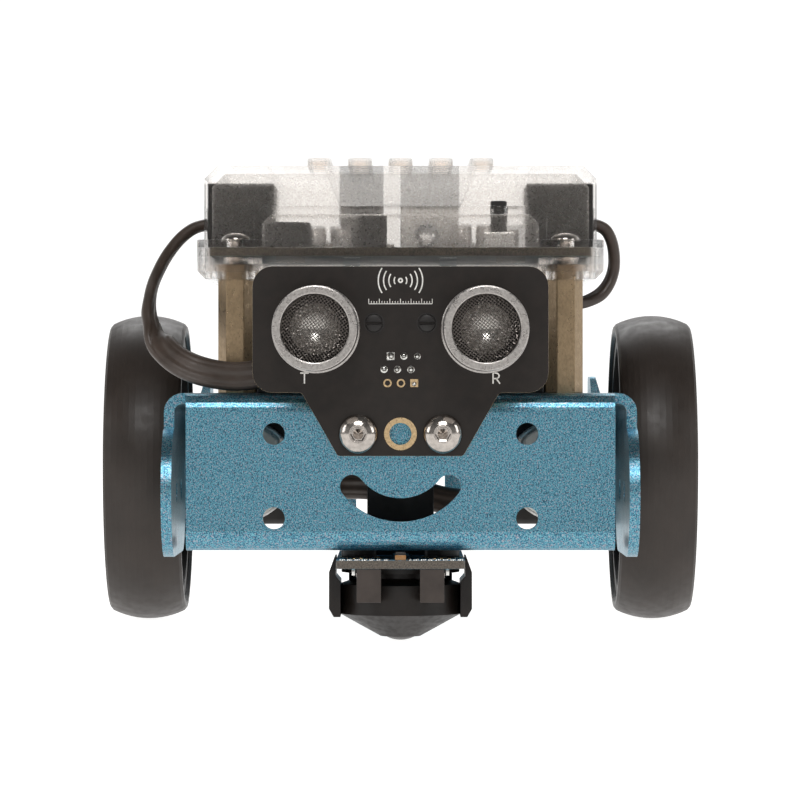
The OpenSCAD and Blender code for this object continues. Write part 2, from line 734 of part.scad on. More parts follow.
module power_jack() {
    color("#2b2b2b") {
        difference() {
            block([-12.5, -3.5], [84, 98.3], [board_top, board_top + 11]);
            rod_y(88, 99, -8, board_top + 6.2, 3.2);
        }
        rod_y(87.5, 97.5, -8, board_top + 6.2, 1);
    }
}
module power_switch_body() {
    color("silver") difference() {
        block([-24, -15.2], [91, 96.2], [board_top, board_top + 4.4]);
        block([-22.4, -16.8], [93, 97], [rim_z + 0.4, rim_z + 2.3]);
    }
}
module power_switch_slider() {
    color("#2b2b2b") block([-22, -19.6], [93.3, 99.4], [rim_z + 0.6, rim_z + 2.1]);
}
module button_bodies() {
    color("silver") {
        difference() {
            block([16, 22], [15, 21], [board_top, board_top + 3.1]);
            rod_z(board_top + 0.8, board_top + 4, 19, 18, 1.75);
        }
        difference() {
            block([19, 25], [91.5, 95], [board_top, board_top + 6.6]);
            rod_y(92.3, 96, 22, rim_z + 2.5, 1.65);
        }
    }
}
module mode_button() {
    color("#231e1c") rod_z(board_top + 0.8 + button_travel + 0.1, nose_z + 1.4, 19, 18, 1.6);
}
module reset_button() {
    color("#231e1c") rod_y(92.3 + button_travel + 0.1, 99.4, 22, rim_z + 2.5, 1.5);
}
module board_chips() {
    chips = [[-7, 7, 52, 59, 1.1], [14, 21, 50, 60, 1.6], [-18, -8, 66, 71, 1.6], [10, 14.5, 70, 72, 3.4],
        [-20, -15, 40, 44, 1.4], [-21, -18, 62, 78, 0.9]];
    color("#222222") for (c = chips)
        block([c[0], c[1]], [c[2], c[3]], [board_top, board_top + c[4]]);
}
module buzzer() {
    color("#222222") difference() {
        rod_z(board_top, board_top + 5, -21.6, 16.5, 4.3);
        rod_z(board_top + 4, board_top + 6, -21.6, 16.5, 0.9);
    }
}
module ir_receiver() {
    color("#222222") {
        block([-8.2, -2.6], [12, 15.4], [board_top, board_top + 6.2]);
        translate([-5.4, front_y + 12, board_top + 4]) sphere(2);
    }
}
module board_leds() {
    color("#dddddd") {
        rod_y(12, 17, 5.1, board_z + 4.3, 2.1);
        translate([5.1, front_y + 12, board_z + 4.3]) sphere(2.1);
        rod_y(16, 17, 5.1, board_z + 4.3, 2.5);
        for (x = [-12, 12]) block([x - 2.5, x + 2.5], [31, 36], [board_top, board_top + 1.6]);
    }
}

// ---- Distance sensor ----
module sensor_board() {
    w = sensor_w / 2;
    color("#15161a") difference() {
        lengthwise(-board_t, 0) polygon(outline([
            [-w, 71.7, 3.8], [-w, 47.8, 3.8], [-18.7, 47.8, 1], [-11.85, 35.8, 0.8],
            [11.85, 35.8, 0.8], [18.7, 47.8, 1], [w, 47.8, 3.8], [w, 71.7, 3.8]
        ]));
        for (x = [-sensor_screw_x, 0, sensor_screw_x])
            rod_y(-board_t - over, over, x, sensor_screw_z, m4_r + free_gap);
    }
}
module sensor_can(side) {
    x = side * can_pitch / 2;
    color("silver") difference() {
        rod_y(-sensor_reach, -board_t, x, can_z, can_d / 2);
        rod_y(-sensor_reach - over, -board_t - 1.4, x, can_z, can_d / 2 - 1.6);
    }
}
module can_screens() {
    color("#55504c") for (s = [-1, 1]) {
        rod_y(-sensor_reach + 1, -sensor_reach + 1.4, s * can_pitch / 2, can_z, can_d / 2 - 1.65);
        rod_y(-sensor_reach + 1.2, -board_t - 1.4, s * can_pitch / 2, can_z, 4.2);
    }
}
module sensor_screws() {
    color("silver") both() translate([sensor_screw_x, front_y - board_t, sensor_screw_z]) rotate([90, 0, 0])
        m4_screw(8);
}

// ---- Line sensor and caster ----
module line_board() {
    color("#2d6a8c") difference() {
        upward(line_z, line_z + board_t) polygon(plate(24.5, 0, 51, 1));
        for (x = [-sensor_screw_x, sensor_screw_x])
            rod_z(line_z - over, line_z + 3, x, caster_d, m4_r + free_gap);
    }
}
module line_eyes() {
    color("#2a2422") both() difference() {
        block([3.7, 8.3], [0.2, 5.4], [8, line_z]);
        for (d = [1.5, 4.1]) rod_z(7, 8.8, 6, d, 0.9);
    }
}
module line_spacers() {
    color("#1c1816") both() difference() {
        rod_z(line_z + board_t, lip_z, sensor_screw_x, caster_d, 3.4);
        rod_z(line_z, lip_z + over, sensor_screw_x, caster_d, m4_r + free_gap);
    }
}
module caster_housing() {
    r = ball_d / 2;
    color("#211a17") difference() {
        union() {
            translate([0, front_y + caster_d, 0]) rotate_extrude($fn = 96) polygon([
                [0, 0.8], [3.9, 0.8], [11.8, 5.2], [11.8, 10.9], [8.5, 12.1], [8.5, 13.2],
                [11.4, 13.2], [11.4, line_z], [0, line_z]
            ]);
            both() lengthwise(caster_d - 8, caster_d + 8) polygon([
                [11.5, 4.8], [12.8, 4.8], [13.7, 6.4], [13.7, 13.4], [12.7, 16.2],
                [12.4, 16.2], [12.4, 12.6], [11.5, 11.6]
            ]);
        }
        translate([0, front_y + caster_d, r]) sphere(r + ball_gap, $fn = 96);
        for (x = [-sensor_screw_x, sensor_screw_x])
            rod_z(9.4, line_z + over, x, caster_d, m4_r + thread_gap);
    }
}
module caster_ball() {
    color("#2b2421") translate([0, front_y + caster_d, ball_d / 2]) sphere(ball_d / 2, $fn = 96);
}
module caster_screws() {
    color("silver") both() translate([sensor_screw_x, front_y + caster_d, lip_z + sheet_t]) m4_screw(10);
}

// ---- Batteries ----
module at_cells() {
    middle = (holder_d[0] + holder_d[1]) / 2;
    for (i = [0:3]) translate([0, front_y + middle + cell_pitch * (i - 1.5), deck_z + 8.5])
        mirror([i % 2, 0, 0]) children();
}
module battery_holder() {
    w = holder_w / 2;
    t = 1.3;
    color("#1b1b1b") difference() {
        block([-w, w], holder_d, [deck_z, deck_z + holder_h]);
        block([t - w, w - t], [holder_d[0] + t, holder_d[1] - t], [deck_z + t, deck_z + holder_h + over]);
    }
}
module battery_cells() {
    color("#3d6b45") at_cells() rotate([0, 90, 0]) {
        rise(-23.7, 25.6) circle(cell_r);
        rise(25.5, 26.6) circle(2.7);
    }
}
module battery_contacts() {
    x = holder_w / 2 - 1.35;
    color("silver") at_cells() {
        translate([x - 0.4, -4.5, -5]) cube([0.4, 9, 9]);
        translate([-x, -4.5, -5]) cube([0.4, 9, 9]);
        for (k = [0:2]) translate([-x + 0.6 + 0.75 * k, 0, 0]) rotate([0, 90, 0])
            rotate_extrude() translate([3.8 - 0.5 * k, 0]) circle(0.48, $fn = 16);
    }
}

// ---- Cables ----
// Sections of the flat cable, as eight points round each point of its route
function section(route, i) =
    let (
        n = len(route) - 1,
        p = route[i],
        ahead = route[min(i + 1, n)],
        behind = route[max(i - 1, 0)],
        along = unit([for (k = [0:2]) ahead[k] - behind[k]]),
        wide = [p[3], p[4], p[5]],
        w = unit(wide - (wide * along) * along),
        h = cross(along, w),
        a = cable_w / 2,
        b = cable_t / 2,
        at = [p[0], front_y + p[1], p[2]]
    )
    [for (k = [[a, b / 2], [a * 0.85, b], [-a * 0.85, b], [-a, b / 2], [-a, -b / 2],
        [-a * 0.85, -b], [a * 0.85, -b], [a, -b / 2]]) at + k[0] * w + k[1] * h];
module flat_cable(route) {
    n = len(route);
    sides = 8;
    points = [for (i = [0:n - 1]) each section(route, i)];
    ends = [[for (k = [0:sides - 1]) k], [for (k = [sides - 1:-1:0]) (n - 1) * sides + k]];
    walls = [for (i = [0:n - 2], k = [0:sides - 1]) let (m = (k + 1) % sides)
        each [[i * sides + k, (i + 1) * sides + k, i * sides + m],
            [i * sides + m, (i + 1) * sides + k, (i + 1) * sides + m]]];
    polyhedron(points, [each ends, each walls]);
}
module sensor_cable() color("#241d1a") flat_cable(sensor_route);
module line_cable() color("#241d1a") flat_cable(line_route);
module sensor_cable_plugs() {
    color("#cfd4d6") {
        at_case_jack(right, jack_d[0]) plug_body();
        at_sensor_jack() plug_body();
    }
}
module line_cable_plugs() {
    color("#cfd4d6") {
        at_case_jack(left, jack_d[0]) plug_body();
        at_line_jack() plug_body();
    }
}

chassis();
tyre(left);  // left_tyre
tyre(right);  // right_tyre
hub(left);  // left_hub
hub(right);  // right_hub
wheel_screw(left);  // left_wheel_screw
wheel_screw(right);  // right_wheel_screw
output_gear(left);  // left_output_gear
output_gear(right);  // right_output_gear
second_gear(left);  // left_second_gear
second_gear(right);  // right_second_gear
crown_gear(left);  // left_crown_gear
crown_gear(right);  // right_crown_gear
motor_pinion(left);  // left_motor_pinion
motor_pinion(right);  // right_motor_pinion
gearbox_inner(left);  // left_gearbox_inner
gearbox_inner(right);  // right_gearbox_inner
gearbox_outer(left);  // left_gearbox_outer
gearbox_outer(right);  // right_gearbox_outer
gear_pins();
motor_cans();
motor_caps();
motor_screws();
nuts();
standoffs();
standoff_screws();
case_base();
case_cover();
controller_board();
cable_jacks();
usb_port();
power_jack();
power_switch_body();
power_switch_slider();
button_bodies();
mode_button();
reset_button();
board_chips();
buzzer();
ir_receiver();
board_leds();
sensor_board();
sensor_can(right);  // transmitter_can
sensor_can(left);  // receiver_can
can_screens();
module_jacks();
sensor_screws();
line_board();
line_eyes();
line_spacers();
caster_housing();
caster_ball();
caster_screws();
battery_holder();
battery_cells();
battery_contacts();
sensor_cable();
sensor_cable_plugs();
line_cable();
line_cable_plugs();
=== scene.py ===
"""Looks for the two-wheeled educational robot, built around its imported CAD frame.

Everything is in metres in the robot's own frame: +Z up, the front faces -Y, the robot's left is +X.
"""

import json
import math

import bmesh
import bpy
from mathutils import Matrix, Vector


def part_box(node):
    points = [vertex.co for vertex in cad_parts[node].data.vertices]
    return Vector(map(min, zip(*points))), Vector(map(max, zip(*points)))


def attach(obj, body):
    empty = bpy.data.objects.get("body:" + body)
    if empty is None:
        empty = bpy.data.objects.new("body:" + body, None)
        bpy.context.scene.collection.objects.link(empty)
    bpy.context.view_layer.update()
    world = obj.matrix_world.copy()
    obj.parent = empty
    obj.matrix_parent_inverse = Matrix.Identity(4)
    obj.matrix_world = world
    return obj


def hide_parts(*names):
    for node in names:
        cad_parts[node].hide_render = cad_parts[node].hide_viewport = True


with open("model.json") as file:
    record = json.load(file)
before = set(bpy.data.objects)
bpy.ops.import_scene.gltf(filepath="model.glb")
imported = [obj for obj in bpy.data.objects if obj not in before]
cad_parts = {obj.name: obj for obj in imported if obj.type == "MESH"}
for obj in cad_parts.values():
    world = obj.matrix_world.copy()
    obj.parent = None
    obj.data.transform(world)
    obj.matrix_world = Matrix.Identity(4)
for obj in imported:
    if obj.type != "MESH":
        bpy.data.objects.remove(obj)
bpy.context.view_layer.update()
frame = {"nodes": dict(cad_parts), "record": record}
NODES = frame["nodes"]
MM = 0.001

# Depths are measured backwards from the outer face of the front plate.
PLATE_TO_TAIL = 156.4
FRONT_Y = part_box("chassis")[1].y - PLATE_TO_TAIL * MM


def at(x, d, z):
    """A point in metres from a width, a depth behind the front plate and a height in millimetres."""
    return Vector((x * MM, FRONT_Y + d * MM, z * MM))


# ---- Camera ----
VIEW_DISTANCE = 0.8
EYE_HEIGHT = 0.0483
FIELD_AT_PLATE = 0.1515
SHIFT = (-0.0006, -0.0125)


def make_camera():
    data = bpy.data.cameras.new("camera")
    data.sensor_width = 36
    data.lens = data.sensor_width * VIEW_DISTANCE / FIELD_AT_PLATE
    data.shift_x, data.shift_y = SHIFT
    data.clip_start = 0.05
    data.clip_end = 40
    camera = bpy.data.objects.new("camera", data)
    camera.location = (0, FRONT_Y - VIEW_DISTANCE, EYE_HEIGHT)
    camera.rotation_euler = (math.radians(90), 0, 0)
    bpy.context.scene.collection.objects.link(camera)
    bpy.context.scene.camera = camera


make_camera()


# ---- Mesh helpers ----
EDGE_SEGMENTS = 2


def new_piece(name, bm, body, smooth=True):
    """Turns a bmesh into a named piece that rides on a CAD body."""
    bmesh.ops.recalc_face_normals(bm, faces=bm.faces)
    mesh = bpy.data.meshes.new(name)
    bm.to_mesh(mesh)
    bm.free()
    for polygon in mesh.polygons:
        polygon.use_smooth = smooth
    if smooth:
        mesh.set_sharp_from_angle(angle=math.radians(35))
    piece = bpy.data.objects.new(name, mesh)
    bpy.context.scene.collection.objects.link(piece)
    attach(piece, body)
    return piece


def smooth_line(points, steps):
    """Points along a Catmull-Rom curve through the given points."""
    ends = [points[0] * 2 - points[1], *points, points[-1] * 2 - points[-2]]
    line = []
    for a, b, c, d in zip(ends, ends[1:], ends[2:], ends[3:]):
        for k in range(steps):
            t = k / steps
            line.append(
                0.5 * ((2 * b) + (c - a) * t + (2 * a - 5 * b + 4 * c - d) * t**2
                       + (3 * b - a - 3 * c + d) * t**3)
            )
    return [*line, points[-1]]


def sweep(bm, line, section, wide=None, closed=False):
    """Sweeps a closed section [(u, v), ...] along a line. wide gives the direction of u at each point."""
    n = len(line)
    rings = []
    side = Vector((0.3, 0.5, 0.81))
    for i, p in enumerate(line):
        ahead = line[(i + 1) % n] if closed else line[min(i + 1, n - 1)]
        behind = line[i - 1] if closed or i else line[0]
        along = (ahead - behind).normalized()
        side = Vector(wide[i]) if wide else side
        side = (side - side.dot(along) * along).normalized()
        up = along.cross(side)
        rings.append([bm.verts.new(p + u * side + v * up) for u, v in section])
    m = len(section)
    for i in range(n if closed else n - 1):
        a, b = rings[i], rings[(i + 1) % n]
        for k in range(m):
            bm.faces.new((a[k], a[(k + 1) % m], b[(k + 1) % m], b[k]))
    if not closed:
        bm.faces.new(rings[0][::-1])
        bm.faces.new(rings[-1])


def circle(r, sides):
    return [(r * math.cos(i * math.tau / sides), r * math.sin(i * math.tau / sides)) for i in range(sides)]


def lathe(bm, profile, centre, axis, sides=64, closed=False):
    """Turns a profile [(radius, height along the axis), ...] about an axis through centre."""
    turn = Vector((0, 0, 1)).rotation_difference(Vector(axis)).to_matrix()
    rings = []
    for r, h in profile:
        if r < 1e-7:
            rings.append([bm.verts.new(centre + turn @ Vector((0, 0, h)))])
            continue
        rings.append([
            bm.verts.new(centre + turn @ Vector((r * math.cos(a), r * math.sin(a), h)))
            for a in (i * math.tau / sides for i in range(sides))
        ])
    pairs = list(zip(rings, rings[1:]))
    if closed:
        pairs.append((rings[-1], rings[0]))
    for a, b in pairs:
        for i in range(sides):
            j = (i + 1) % sides
            corners = [a[i % len(a)], a[j % len(a)], b[j % len(b)], b[i % len(b)]]
            unique = list(dict.fromkeys(corners))
            if len(unique) > 2:
                bm.faces.new(unique)


def slab(bm, x, d, z, round_r=0.0):
    """A box between two widths, depths and heights in millimetres, with rounded edges."""
    low, high = at(x[0], d[0], z[0]), at(x[1], d[1], z[1])
    made = bmesh.ops.create_cube(bm, size=1.0)
    verts = made["verts"]
    middle = (low + high) / 2
    for v in verts:
        v.co = Vector(middle[i] + v.co[i] * (high[i] - low[i]) for i in range(3))
    if round_r:
        edges = list({e for v in verts for e in v.link_edges})
        bmesh.ops.bevel(bm, geom=edges, offset=round_r * MM, segments=EDGE_SEGMENTS, profile=0.5,
                        affect="EDGES", clamp_overlap=True)


def refine(node, width):
    """Rounds the sharp edges of a CAD node, which keeps its own mesh."""
    piece = NODES[node]
    weld = piece.modifiers.new("weld", "WELD")
    weld.merge_threshold = 1e-6
    flat = piece.modifiers.new("flat", "DECIMATE")
    flat.decimate_type = "DISSOLVE"
    flat.angle_limit = math.radians(0.4)
    bevel = piece.modifiers.new("bevel", "BEVEL")
    bevel.width = width * MM
    bevel.segments = EDGE_SEGMENTS
    bevel.limit_method = "ANGLE"
    bevel.angle_limit = math.radians(32)
    bevel.miter_outer = "MITER_ARC"
    normals = piece.modifiers.new("normals", "WEIGHTED_NORMAL")
    normals.keep_sharp = True


# ---- Cables: the routes are those of the CAD model, as x, depth, height and the width's direction ----
CABLE_WIDTH = 5.6
CABLE_THICKNESS = 2.3
SENSOR_ROUTE = [
    (-38.4, 45, 81.2, 0, 1, 0), (-39.4, 45, 81.2, 0, 1, 0), (-41.6, 44.4, 80.4, 0, 1, 0),
    (-44, 43, 78.4, 0, 1, 0), (-46.2, 40.8, 75.4, 0, 1, 0), (-47.8, 37.8, 72.2, 0, 1, 0),
    (-48.9, 34.2, 68.9, 0, 1, 0.1), (-49.2, 30, 65.6, 0, 1, 0.25), (-48.8, 25.8, 62.2, 0, 1, 0.4),
    (-47.6, 21.7, 59, -0.2, 1, 0.6), (-45.6, 17.9, 56.2, -0.3, 0.8, 0.8),
    (-42.8, 14.5, 53.9, -0.3, 0.6, 0.9), (-39.4, 11.8, 52.3, -0.2, 0.3, 1),
    (-35.5, 9.7, 51.3, 0, 0.2, 1), (-31.3, 8.2, 50.9, 0, 0.1, 1), (-27, 7.1, 51.4, 0, 0, 1),
    (-22.8, 6.3, 52.6, 0, 0, 1), (-18.4, 5.8, 54.1, 0, 0, 1), (-13.8, 5.6, 55, 0, 0, 1),
    (-9.2, 5.6, 55, 0, 0, 1),
]
LINE_ROUTE = [
    (38.4, 45, 81.2, 0, 1, 0), (39.4, 45, 81.2, 0, 1, 0), (41.1, 45, 80.2, 0, 1, 0),
    (42.2, 45, 78.1, 0, 1, 0.1), (42.7, 45, 75.4, 0, 1, 0.2), (42.6, 44.9, 72.4, 0, 1, 0.2),
    (41.6, 44.5, 69.6, 0, 1, 0.2), (39.8, 43.8, 67.4, 0, 1, 0.2), (37.2, 42.7, 66, 0, 1, 0.1),
    (34.2, 41, 65.3, 0, 1, 0), (31.2, 38.6, 65, 0, 1, 0), (28.6, 35.9, 64.3, 0, 1, 0),
    (26.4, 33.5, 62.5, 0, 1, 0), (24.6, 31.9, 59.6, 0, 1, 0), (23, 31, 55.9, 0, 1, 0),
    (21.6, 30.8, 51.8, 0, 1, 0), (20.4, 31.2, 47.7, 0, 1, 0.1), (19.5, 32.6, 42.8, 0.4, 1, 0.2),
    (19.2, 35.8, 38.4, 0.9, 0.5, 0.4), (19.3, 40.6, 34.5, 1, 0, 0.3), (19.6, 46.2, 31, 0.8, 0, 0.6),
    (19.4, 50.8, 28.8, 0.5, 0.3, 0.9), (18.4, 55.2, 27.1, 0.2, 0.3, 1), (16.2, 59.2, 25.9, 0, 0, 1),
    (12.8, 62, 25.4, 0, 0, 1), (8.8, 63.5, 25.8, 0, 0, 1), (3.4, 64.4, 27.2, 0, 0, 1),
    (-2.2, 64.9, 28.3, 0, 0, 1), (-7.4, 65.9, 28.7, 0, 0, 1), (-11.4, 68.4, 28.7, 0, 0, 1),
    (-13.8, 72.6, 28.7, 0, 0, 1), (-13.6, 77.4, 28.8, 0, 0, 1), (-10.6, 81.4, 28.9, 0, 0, 1),
    (-6.2, 82.6, 28.3, 0, 0, 1), (-2.6, 81, 27, 0.15, 0, 1), (-0.8, 77.4, 25.1, 0.6, 0.1, 1),
    (0, 72.4, 22.9, 1, 0, 0.6), (0, 66.6, 21.7, 1, 0, 0.1), (0, 58.6, 21.6, 1, 0, 0),
    (0, 50.4, 21.6, 1, 0, 0),
]


def cable_section():
    """A flat jacket with round sides and a shallow groove between each pair of its wires."""
    a, b = CABLE_WIDTH * MM / 2, CABLE_THICKNESS * MM / 2
    grooves = 3
    dip = 0.16 * MM
    face = []
    steps = 20
    for i in range(steps + 1):
        u = (1 - 2 * i / steps) * (a - b * 0.8)
        wave = 0.5 - 0.5 * math.cos((u / (a - b * 0.8) + 1) * math.pi * (grooves + 1) / 2)
        face.append((u, b - dip * (1 - wave) * (0.6 if i in (0, steps) else 1)))
    side = [(-a + b * 0.8 - b * 0.8 * math.cos(t), b * 0.9 * math.sin(t))
            for t in (math.radians(60 - 20 * k) for k in range(7))]
    other = [(-u, -v) for u, v in face]
    return [*face, *side, *other, *[(-u, -v) for u, v in side]]


def make_cable(name, route, node):
    """A flat cable that replaces its CAD solid. Both of its ends go into sockets of the robot."""
    steps = 6
    line = smooth_line([at(*p[:3]) for p in route], steps)
    wide = smooth_line([Vector(p[3:]) for p in route], steps)
    bm = bmesh.new()
    sweep(bm, line, cable_section(), wide)
    cable = new_piece(name, bm, "frame")
    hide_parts(node)
    return cable


sensor_cable = make_cable("sensor_flat_cable", SENSOR_ROUTE, "sensor_cable")
line_cable = make_cable("line_flat_cable", LINE_ROUTE, "line_cable")


# ---- Materials ----
class Look:
    """A procedural material: one Principled shader and the nodes that vary it over the surface."""

    def __init__(self, name, color, rough, metallic=0.0, **sockets):
        self.material = bpy.data.materials.new(name)
        self.material.use_nodes = True
        self.tree = self.material.node_tree
        self.shader = self.tree.nodes["Principled BSDF"]
        self.rough = rough
        self.shader.inputs["Metallic"].default_value = metallic
        self.shader.inputs["Base Color"].default_value = (*color, 1)
        self.shader.inputs["Roughness"].default_value = rough
        for socket, value in sockets.items():
            self.shader.inputs[socket.replace("_", " ")].default_value = value
        self.place = self.node("ShaderNodeTexCoord").outputs["Object"]
        self.normal = None

    def node(self, kind, **props):
        made = self.tree.nodes.new(kind)
        for name, value in props.items():
            setattr(made, name, value)
        return made

    def link(self, a, b):
        self.tree.links.new(a, b)

    def stretched(self, scale):
        """The object's coordinates, scaled by a factor along each axis."""
        mapping = self.node("ShaderNodeMapping")
        mapping.inputs["Scale"].default_value = scale
        self.link(self.place, mapping.inputs["Vector"])
        return mapping.outputs["Vector"]

    def noise(self, size, detail=3.0, stretch=None):
        """Noise whose features are about size millimetres across."""
        made = self.node("ShaderNodeTexNoise")
        made.inputs["Scale"].default_value = 1 / (size * MM)
        made.inputs["Detail"].default_value = detail
        self.link(self.stretched(stretch) if stretch else self.place, made.inputs["Vector"])
        return made.outputs["Fac"]

    def ramp(self, factor, low, high, stops=(0.35, 0.65)):
        """Maps a factor to colours between low and high."""
        made = self.node("ShaderNodeValToRGB")
        for element, position, value in zip(made.color_ramp.elements, stops, (low, high)):
            element.position = position
            element.color = (*value, 1) if isinstance(value, tuple) else (value, value, value, 1)
        self.link(factor, made.inputs["Fac"])
        return made.outputs["Color"]

    def mix(self, factor, a, b, mode="MIX"):
        made = self.node("ShaderNodeMix", data_type="RGBA", blend_type=mode)
        slots = {"Factor": factor, "A": a, "B": b}
        for label, value in slots.items():
            socket = next(s for s in made.inputs
                          if s.name == label and (label == "Factor" or s.type == "RGBA"))
            if isinstance(value, bpy.types.NodeSocket):
                self.link(value, socket)
            else:
                socket.default_value = value if label == "Factor" else (*value, 1)
        return next(s for s in made.outputs if s.type == "RGBA")

    def vary_color(self, factor, low, high, stops=(0.35, 0.65)):
        self.link(self.ramp(factor, low, high, stops), self.shader.inputs["Base Color"])

    def vary_rough(self, factor, spread):
        low, high = max(0.0, self.rough - spread), min(1.0, self.rough + spread)
        self.link(self.ramp(factor, low, high), self.shader.inputs["Roughness"])

    def bump(self, factor, height, strength=1.0):
        """Raises the surface by up to height millimetres."""
        made = self.node("ShaderNodeBump")
        made.inputs["Distance"].default_value = height * MM
        made.inputs["Strength"].default_value = strength
        self.link(factor, made.inputs["Height"])
        if self.normal:
            self.link(self.normal, made.inputs["Normal"])
        self.normal = made.outputs["Normal"]
        self.link(self.normal, self.shader.inputs["Normal"])
        return self


def shade(color, factor):
    return tuple(c * factor for c in color)


def anodised_blue():
    """Bead-blasted and dyed aluminium: a fine grain of dark blue pits and teal, with a few pink-grey
    glints painted into the colour as pale spots (painted highlights).
    """
    look = Look("anodised_blue", (0.10, 0.36, 0.50), 0.34, 1.0)
    grain = look.noise(0.21, 1.0)
    blue = look.ramp(grain, (0.036, 0.13, 0.22), (0.17, 0.42, 0.50), (0.38, 0.62))
    # A few pale pink-grey spots are painted into the base colour as glints: painted highlights, not the
    # metal's own colour.
    painted_glints = look.mix(look.ramp(look.noise(0.3, 0.0), 0.0, 0.7, (0.58, 0.70)), blue, (0.40, 0.37, 0.42))
    pits = look.ramp(look.noise(0.26, 0.0, (1.3, 1, 0.9)), 0.0, 0.7, (0.62, 0.72))
    look.link(look.mix(pits, painted_glints, (0.022, 0.045, 0.08)), look.shader.inputs["Base Color"])
    look.vary_rough(look.noise(3.0), 0.04)
    return look.bump(grain, 0.045, 0.8)


def tyre_rubber():
    look = Look("tyre_rubber", (0.030, 0.023, 0.019), 0.42, 0.0, Specular_IOR_Level=0.35)
    look.vary_color(look.noise(9.0, 4), (0.027, 0.020, 0.016), (0.035, 0.026, 0.021))
    look.vary_rough(look.noise(2.2), 0.05)
    return look.bump(look.noise(0.22, 4), 0.012, 0.5)


def moulded_plastic(name, color, rough=0.5, grain=0.35, depth=0.014):
    """Black and coloured mouldings with a fine spark-eroded grain."""
    look = Look(name, color, rough, Specular_IOR_Level=0.3)
    look.vary_color(look.noise(4.0, 4), shade(color, 0.85), shade(color, 1.18))
    look.vary_rough(look.noise(1.4), 0.08)
    return look.bump(look.noise(grain, 3), depth, 0.6)


def worn_metal(name, color, rough, grain=0.5, stretch=None, depth=0.006):
    """Metal with fine marks. stretch draws the marks out along an axis, as brushing does."""
    look = Look(name, color, rough, 1.0)
    look.vary_color(look.noise(grain, 5, stretch), shade(color, 0.82), shade(color, 1.1))
    look.vary_rough(look.noise(grain * 2, 4, stretch), rough * 0.3)
    return look.bump(look.noise(grain * 0.5, 4, stretch), depth, 0.6)


ACRYLIC_IOR = 1.49


def smoke_clear():
    """The cover's polished skin. Its alpha passes part of the light straight on, because full refraction
    renders too dark."""
    look = Look("smoke_clear", (0.93, 0.885, 0.845), 0.04, 0.0,
                IOR=ACRYLIC_IOR, Transmission_Weight=1.0, Alpha=0.6)
    look.vary_rough(look.noise(5.0), 0.02)
    return look.bump(look.noise(6.0, 2), 0.01, 0.4)


def smoke_frosted():
    """The cover's inner skin: a fine frost that scatters part of the light and passes the rest."""
    look = Look("smoke_frosted", (0.90, 0.85, 0.80), 0.30, 0.0,
                IOR=ACRYLIC_IOR, Transmission_Weight=0.78, Alpha=0.4)
    look.vary_color(look.noise(0.36, 1.0), (0.62, 0.55, 0.49), (1.0, 0.95, 0.90), (0.36, 0.64))
    look.vary_rough(look.noise(0.5), 0.05)
    return look.bump(look.noise(0.36, 2), 0.06, 0.9)


def solder_mask(name, color, edge, thin_axis):
    """Lacquered board: its faces carry the mask over copper tracks, and its cut edges show glass fibre."""
    look = Look(name, color, 0.42, 0.0, Specular_IOR_Level=0.3)
    geometry = look.node("ShaderNodeNewGeometry")
    split = look.node("ShaderNodeSeparateXYZ")
    look.link(geometry.outputs["Normal"], split.inputs["Vector"])
    size = look.node("ShaderNodeMath", operation="ABSOLUTE")
    look.link(split.outputs[thin_axis], size.inputs[0])
    face = look.ramp(look.noise(2.5, 3), shade(color, 0.85), shade(color, 1.15))
    fibre = look.ramp(look.noise(0.3, 3, (1, 1, 1)), shade(edge, 0.6), shade(edge, 1.35))
    look.link(look.mix(look.ramp(size.outputs[0], 0.0, 1.0, (0.5, 0.7)), fibre, face),
              look.shader.inputs["Base Color"])
    look.vary_rough(look.noise(6.0), 0.06)
    tracks = look.node("ShaderNodeTexVoronoi", feature="DISTANCE_TO_EDGE", distance="MANHATTAN")
    tracks.inputs["Scale"].default_value = 1 / (3.4 * MM)
    look.link(look.place, tracks.inputs["Vector"])
    raised = look.ramp(tracks.outputs["Distance"], 1.0, 0.0, (0.05, 0.09))
    return look.bump(raised, 0.012, 0.35)


def cable_jacket():
    look = Look("cable_jacket", (0.050, 0.036, 0.028), 0.36, 0.0, Specular_IOR_Level=0.4)
    look.vary_color(look.noise(5.0, 3), (0.042, 0.030, 0.023), (0.060, 0.043, 0.034))
    look.vary_rough(look.noise(1.5), 0.06)
    return look.bump(look.noise(0.3, 3), 0.012, 0.5)


def plain_gloss(name, color, rough, grain=1.2, **sockets):
    look = Look(name, color, rough, 0.0, **sockets)
    look.vary_color(look.noise(grain * 3, 3), shade(color, 0.9), shade(color, 1.08))
    look.vary_rough(look.noise(grain), min(0.05, rough * 0.5))
    return look.bump(look.noise(grain, 3), 0.006, 0.4)


def battery_wrap():
    """A printed film in two plain colours along each cell, over steel ends."""
    look = Look("battery_wrap", (0.05, 0.12, 0.07), 0.3, 0.0, Coat_Weight=0.6, Coat_Roughness=0.1)
    split = look.node("ShaderNodeSeparateXYZ")
    look.link(look.place, split.inputs["Vector"])
    size = look.node("ShaderNodeMath", operation="ABSOLUTE")
    look.link(split.outputs["X"], size.inputs[0])
    far = look.node("ShaderNodeMath", operation="MULTIPLY")
    far.inputs[1].default_value = 1 / (30 * MM)
    look.link(size.outputs[0], far.inputs[0])
    film = look.ramp(look.noise(2.0, 3), (0.035, 0.10, 0.06), (0.06, 0.15, 0.09))
    band = look.ramp(look.noise(2.0, 3), (0.50, 0.50, 0.47), (0.62, 0.61, 0.57))
    ends = look.ramp(far.outputs[0], 0.0, 1.0, (0.775, 0.785))
    stripe = look.ramp(far.outputs[0], 0.0, 1.0, (0.52, 0.525))
    printed = look.mix(stripe, film, look.ramp(look.noise(2.0, 3), (0.42, 0.20, 0.06), (0.52, 0.26, 0.09)))
    look.link(look.mix(ends, printed, band), look.shader.inputs["Base Color"])
    return look.bump(look.noise(1.5, 3), 0.01, 0.4)


